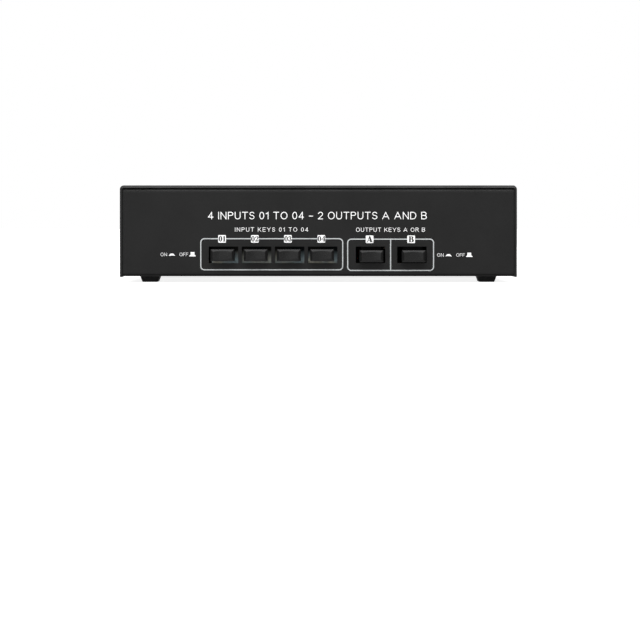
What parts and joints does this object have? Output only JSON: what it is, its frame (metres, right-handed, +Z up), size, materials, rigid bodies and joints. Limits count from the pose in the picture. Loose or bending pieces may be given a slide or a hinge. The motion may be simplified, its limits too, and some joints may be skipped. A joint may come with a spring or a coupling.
{
  "type": "speaker selector switch",
  "caption": "Low black sheet-metal speaker selector box with input and output push keys on the front and twin fluted binding posts on the rear.",
  "frame": {"origin": "middle of the whole part's footprint, on the surface the feet stand on", "axes": "+Z up; seen from the front, +X is to the right and +Y goes into the case, so the keys face -Y and the posts +Y"},
  "size_m": [0.24, 0.172, 0.0588],
  "materials": {
    "black_coat": "fine black powder coat",
    "plated_steel": "bright zinc plate",
    "black_screw": "black zinc",
    "foot_rubber": "matt rubber",
    "key_plastic": "satin black moulding",
    "switch_plastic": "matt black moulding",
    "plunger_plastic": "white acetal",
    "spring_steel": "drawn wire",
    "board": "green solder mask",
    "base_plastic": "satin black moulding",
    "nickel": "bright nickel plate",
    "red_plastic": "satin red moulding",
    "black_plastic": "satin black moulding",
    "red_insulation": "smooth PVC",
    "black_insulation": "smooth PVC",
    "legend_ink": "white screen print"
  },
  "bodies": {
    "case": {"chassis": "black_coat", "top_cover": "black_coat", "cover_screws": "black_screw", "rubber_feet": "foot_rubber", "input_switch_frame": "plated_steel", "input_switch_bodies": "switch_plastic", "output_switch_bodies": "switch_plastic", "interlock_spring": "spring_steel", "switch_board": "board", "board_standoffs": "plated_steel", "board_screws": "plated_steel", "terminal_bases": "base_plastic", "terminal_studs": "nickel", "terminal_screws": "black_screw", "terminal_nuts_and_tags": "nickel", "red_wires": "red_insulation", "black_wires": "black_insulation", "input_spring_1": "spring_steel", "input_spring_2": "spring_steel", "input_spring_3": "spring_steel", "input_spring_4": "spring_steel", "output_spring_a": "spring_steel", "output_spring_b": "spring_steel"},
    "interlock": {"interlock_bar": "plated_steel"},
    "input_key_1_body": {"input_key_1": "key_plastic", "input_plunger_1": "plunger_plastic"},
    "input_key_2_body": {"input_key_2": "key_plastic", "input_plunger_2": "plunger_plastic"},
    "input_key_3_body": {"input_key_3": "key_plastic", "input_plunger_3": "plunger_plastic"},
    "input_key_4_body": {"input_key_4": "key_plastic", "input_plunger_4": "plunger_plastic"},
    "output_key_a_body": {"output_key_a": "key_plastic", "output_plunger_a": "plunger_plastic"},
    "output_key_b_body": {"output_key_b": "key_plastic", "output_plunger_b": "plunger_plastic"},
    "red_cap_01_body": {"red_post_cap_01": "red_plastic"},
    "red_cap_02_body": {"red_post_cap_02": "red_plastic"},
    "red_cap_03_body": {"red_post_cap_03": "red_plastic"},
    "red_cap_04_body": {"red_post_cap_04": "red_plastic"},
    "red_cap_05_body": {"red_post_cap_05": "red_plastic"},
    "red_cap_06_body": {"red_post_cap_06": "red_plastic"},
    "red_cap_07_body": {"red_post_cap_07": "red_plastic"},
    "red_cap_08_body": {"red_post_cap_08": "red_plastic"},
    "red_cap_09_body": {"red_post_cap_09": "red_plastic"},
    "red_cap_10_body": {"red_post_cap_10": "red_plastic"},
    "red_cap_11_body": {"red_post_cap_11": "red_plastic"},
    "red_cap_12_body": {"red_post_cap_12": "red_plastic"},
    "black_cap_01_body": {"black_post_cap_01": "black_plastic"},
    "black_cap_02_body": {"black_post_cap_02": "black_plastic"},
    "black_cap_03_body": {"black_post_cap_03": "black_plastic"},
    "black_cap_04_body": {"black_post_cap_04": "black_plastic"},
    "black_cap_05_body": {"black_post_cap_05": "black_plastic"},
    "black_cap_06_body": {"black_post_cap_06": "black_plastic"},
    "black_cap_07_body": {"black_post_cap_07": "black_plastic"},
    "black_cap_08_body": {"black_post_cap_08": "black_plastic"},
    "black_cap_09_body": {"black_post_cap_09": "black_plastic"},
    "black_cap_10_body": {"black_post_cap_10": "black_plastic"},
    "black_cap_11_body": {"black_post_cap_11": "black_plastic"},
    "black_cap_12_body": {"black_post_cap_12": "black_plastic"}
  },
  "joints": [
    {"name": "input_key_1_press", "type": "slide", "parent": "case", "child": "input_key_1_body", "axis": [0, 1, 0], "range_m": [0, 0.004], "stiffness_N_per_m": 250, "springref_m": -0.004, "deforming": ["input_spring_1"]},
    {"name": "input_key_2_press", "type": "slide", "parent": "case", "child": "input_key_2_body", "axis": [0, 1, 0], "range_m": [0, 0.004], "stiffness_N_per_m": 250, "springref_m": -0.004, "deforming": ["input_spring_2"]},
    {"name": "input_key_3_press", "type": "slide", "parent": "case", "child": "input_key_3_body", "axis": [0, 1, 0], "range_m": [0, 0.004], "stiffness_N_per_m": 250, "springref_m": -0.004, "deforming": ["input_spring_3"]},
    {"name": "input_key_4_press", "type": "slide", "parent": "case", "child": "input_key_4_body", "axis": [0, 1, 0], "range_m": [0, 0.004], "stiffness_N_per_m": 250, "springref_m": -0.004, "deforming": ["input_spring_4"]},
    {"name": "output_key_a_press", "type": "slide", "parent": "case", "child": "output_key_a_body", "axis": [0, 1, 0], "range_m": [0, 0.004], "stiffness_N_per_m": 250, "springref_m": -0.004, "deforming": ["output_spring_a"]},
    {"name": "output_key_b_press", "type": "slide", "parent": "case", "child": "output_key_b_body", "axis": [0, 1, 0], "range_m": [0, 0.004], "stiffness_N_per_m": 250, "springref_m": -0.004, "deforming": ["output_spring_b"]},
    {"name": "interlock_bar_slide", "type": "slide", "parent": "case", "child": "interlock", "axis": [1, 0, 0], "range_m": [0, 0.0015], "stiffness_N_per_m": 300, "springref_m": -0.002, "deforming": ["interlock_spring"]},
    {"name": "red_cap_01_unscrew", "type": "slide", "parent": "case", "child": "red_cap_01_body", "axis": [0, 1, 0], "range_m": [0, 0.006]},
    {"name": "red_cap_02_unscrew", "type": "slide", "parent": "case", "child": "red_cap_02_body", "axis": [0, 1, 0], "range_m": [0, 0.006]},
    {"name": "red_cap_03_unscrew", "type": "slide", "parent": "case", "child": "red_cap_03_body", "axis": [0, 1, 0], "range_m": [0, 0.006]},
    {"name": "red_cap_04_unscrew", "type": "slide", "parent": "case", "child": "red_cap_04_body", "axis": [0, 1, 0], "range_m": [0, 0.006]},
    {"name": "red_cap_05_unscrew", "type": "slide", "parent": "case", "child": "red_cap_05_body", "axis": [0, 1, 0], "range_m": [0, 0.006]},
    {"name": "red_cap_06_unscrew", "type": "slide", "parent": "case", "child": "red_cap_06_body", "axis": [0, 1, 0], "range_m": [0, 0.006]},
    {"name": "red_cap_07_unscrew", "type": "slide", "parent": "case", "child": "red_cap_07_body", "axis": [0, 1, 0], "range_m": [0, 0.006]},
    {"name": "red_cap_08_unscrew", "type": "slide", "parent": "case", "child": "red_cap_08_body", "axis": [0, 1, 0], "range_m": [0, 0.006]},
    {"name": "red_cap_09_unscrew", "type": "slide", "parent": "case", "child": "red_cap_09_body", "axis": [0, 1, 0], "range_m": [0, 0.006]},
    {"name": "red_cap_10_unscrew", "type": "slide", "parent": "case", "child": "red_cap_10_body", "axis": [0, 1, 0], "range_m": [0, 0.006]},
    {"name": "red_cap_11_unscrew", "type": "slide", "parent": "case", "child": "red_cap_11_body", "axis": [0, 1, 0], "range_m": [0, 0.006]},
    {"name": "red_cap_12_unscrew", "type": "slide", "parent": "case", "child": "red_cap_12_body", "axis": [0, 1, 0], "range_m": [0, 0.006]},
    {"name": "black_cap_01_unscrew", "type": "slide", "parent": "case", "child": "black_cap_01_body", "axis": [0, 1, 0], "range_m": [0, 0.006]},
    {"name": "black_cap_02_unscrew", "type": "slide", "parent": "case", "child": "black_cap_02_body", "axis": [0, 1, 0], "range_m": [0, 0.006]},
    {"name": "black_cap_03_unscrew", "type": "slide", "parent": "case", "child": "black_cap_03_body", "axis": [0, 1, 0], "range_m": [0, 0.006]},
    {"name": "black_cap_04_unscrew", "type": "slide", "parent": "case", "child": "black_cap_04_body", "axis": [0, 1, 0], "range_m": [0, 0.006]},
    {"name": "black_cap_05_unscrew", "type": "slide", "parent": "case", "child": "black_cap_05_body", "axis": [0, 1, 0], "range_m": [0, 0.006]},
    {"name": "black_cap_06_unscrew", "type": "slide", "parent": "case", "child": "black_cap_06_body", "axis": [0, 1, 0], "range_m": [0, 0.006]},
    {"name": "black_cap_07_unscrew", "type": "slide", "parent": "case", "child": "black_cap_07_body", "axis": [0, 1, 0], "range_m": [0, 0.006]},
    {"name": "black_cap_08_unscrew", "type": "slide", "parent": "case", "child": "black_cap_08_body", "axis": [0, 1, 0], "range_m": [0, 0.006]},
    {"name": "black_cap_09_unscrew", "type": "slide", "parent": "case", "child": "black_cap_09_body", "axis": [0, 1, 0], "range_m": [0, 0.006]},
    {"name": "black_cap_10_unscrew", "type": "slide", "parent": "case", "child": "black_cap_10_body", "axis": [0, 1, 0], "range_m": [0, 0.006]},
    {"name": "black_cap_11_unscrew", "type": "slide", "parent": "case", "child": "black_cap_11_body", "axis": [0, 1, 0], "range_m": [0, 0.006]},
    {"name": "black_cap_12_unscrew", "type": "slide", "parent": "case", "child": "black_cap_12_body", "axis": [0, 1, 0], "range_m": [0, 0.006]}
  ]
}
